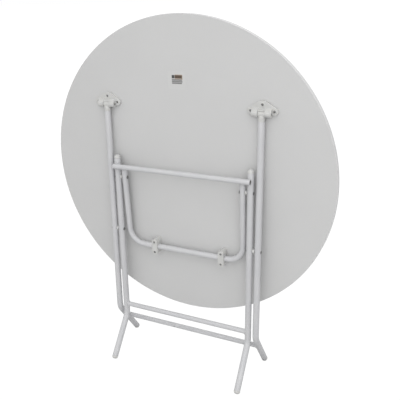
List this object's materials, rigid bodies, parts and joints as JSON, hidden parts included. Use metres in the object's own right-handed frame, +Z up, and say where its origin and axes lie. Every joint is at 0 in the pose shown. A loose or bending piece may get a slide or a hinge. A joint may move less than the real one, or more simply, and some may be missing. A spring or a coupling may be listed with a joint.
{
  "type": "folding bistro table",
  "caption": "Round folding bistro table with a crossed tubular leg frame that folds flat against the underside of the top and a U-shaped stay that locks it open.",
  "frame": {"origin": "on the floor, midway between the two front feet and the two back feet of the folded table", "axes": "+X along the pivot axes, +Y from the underside of the top towards its upper face, +Z up while the folded table stands on its feet"},
  "size_m": [0.9499, 0.2108, 1.137],
  "materials": {
    "board_laminate": "satin white melamine on particle board",
    "edge_banding": "smooth white edge band",
    "label_paper": "printed paper label with plain bars",
    "white_powder_coat": "semi-gloss white powder coat on steel tube",
    "white_plastic": "moulded off-white plastic",
    "fastener_steel": "dull zinc-plated steel"
  },
  "bodies": {
    "tabletop": {"tabletop_board": "board_laminate", "edge_band": "edge_banding", "underside_label": "label_paper", "hinge_bracket_left": "white_plastic", "hinge_bracket_right": "white_plastic", "hinge_pin_left": "fastener_steel", "hinge_pin_right": "fastener_steel", "bracket_screws": "fastener_steel", "stay_clip_left": "white_plastic", "stay_clip_right": "white_plastic", "clip_screws": "fastener_steel"},
    "outer_legs": {"outer_leg_left": "white_powder_coat", "outer_leg_right": "white_powder_coat", "leg_knuckle_left": "white_plastic", "leg_knuckle_right": "white_plastic", "outer_lower_crossbar": "white_powder_coat", "outer_foot_caps": "white_plastic", "crossing_rivet_heads": "fastener_steel"},
    "stay": {"stay_tube": "white_powder_coat"},
    "inner_legs": {"inner_leg_left": "white_powder_coat", "inner_leg_right": "white_powder_coat", "inner_upper_crossbar": "white_powder_coat", "inner_lower_crossbar": "white_powder_coat", "inner_top_caps": "white_plastic", "inner_foot_caps": "white_plastic", "crossing_rivets": "fastener_steel", "crossing_spacers": "white_plastic", "stay_rivets": "fastener_steel", "stay_spacers": "white_plastic"}
  },
  "joints": [
    {"name": "leg_fold", "type": "hinge", "parent": "tabletop", "child": "outer_legs", "pos_m": [0, 0.03795, 0.8695], "axis": [-1, 0, 0], "range_deg": [0, 54.17]},
    {"name": "stay_swing", "type": "hinge", "parent": "tabletop", "child": "stay", "pos_m": [0, 0.02995, 0.4035], "axis": [1, 0, 0], "range_deg": [0, 53.78]},
    {"name": "inner_leg_turn", "type": "hinge", "parent": "stay", "child": "inner_legs", "pos_m": [0, 0.02487, 0.63686], "axis": [-1, 0, 0], "range_deg": [0, 176.26]}
  ],
  "couplings": [
    {"joint": "stay_swing", "follows": "leg_fold", "ratio": 0.99268},
    {"joint": "inner_leg_turn", "follows": "leg_fold", "ratio": 3.2538}
  ]
}
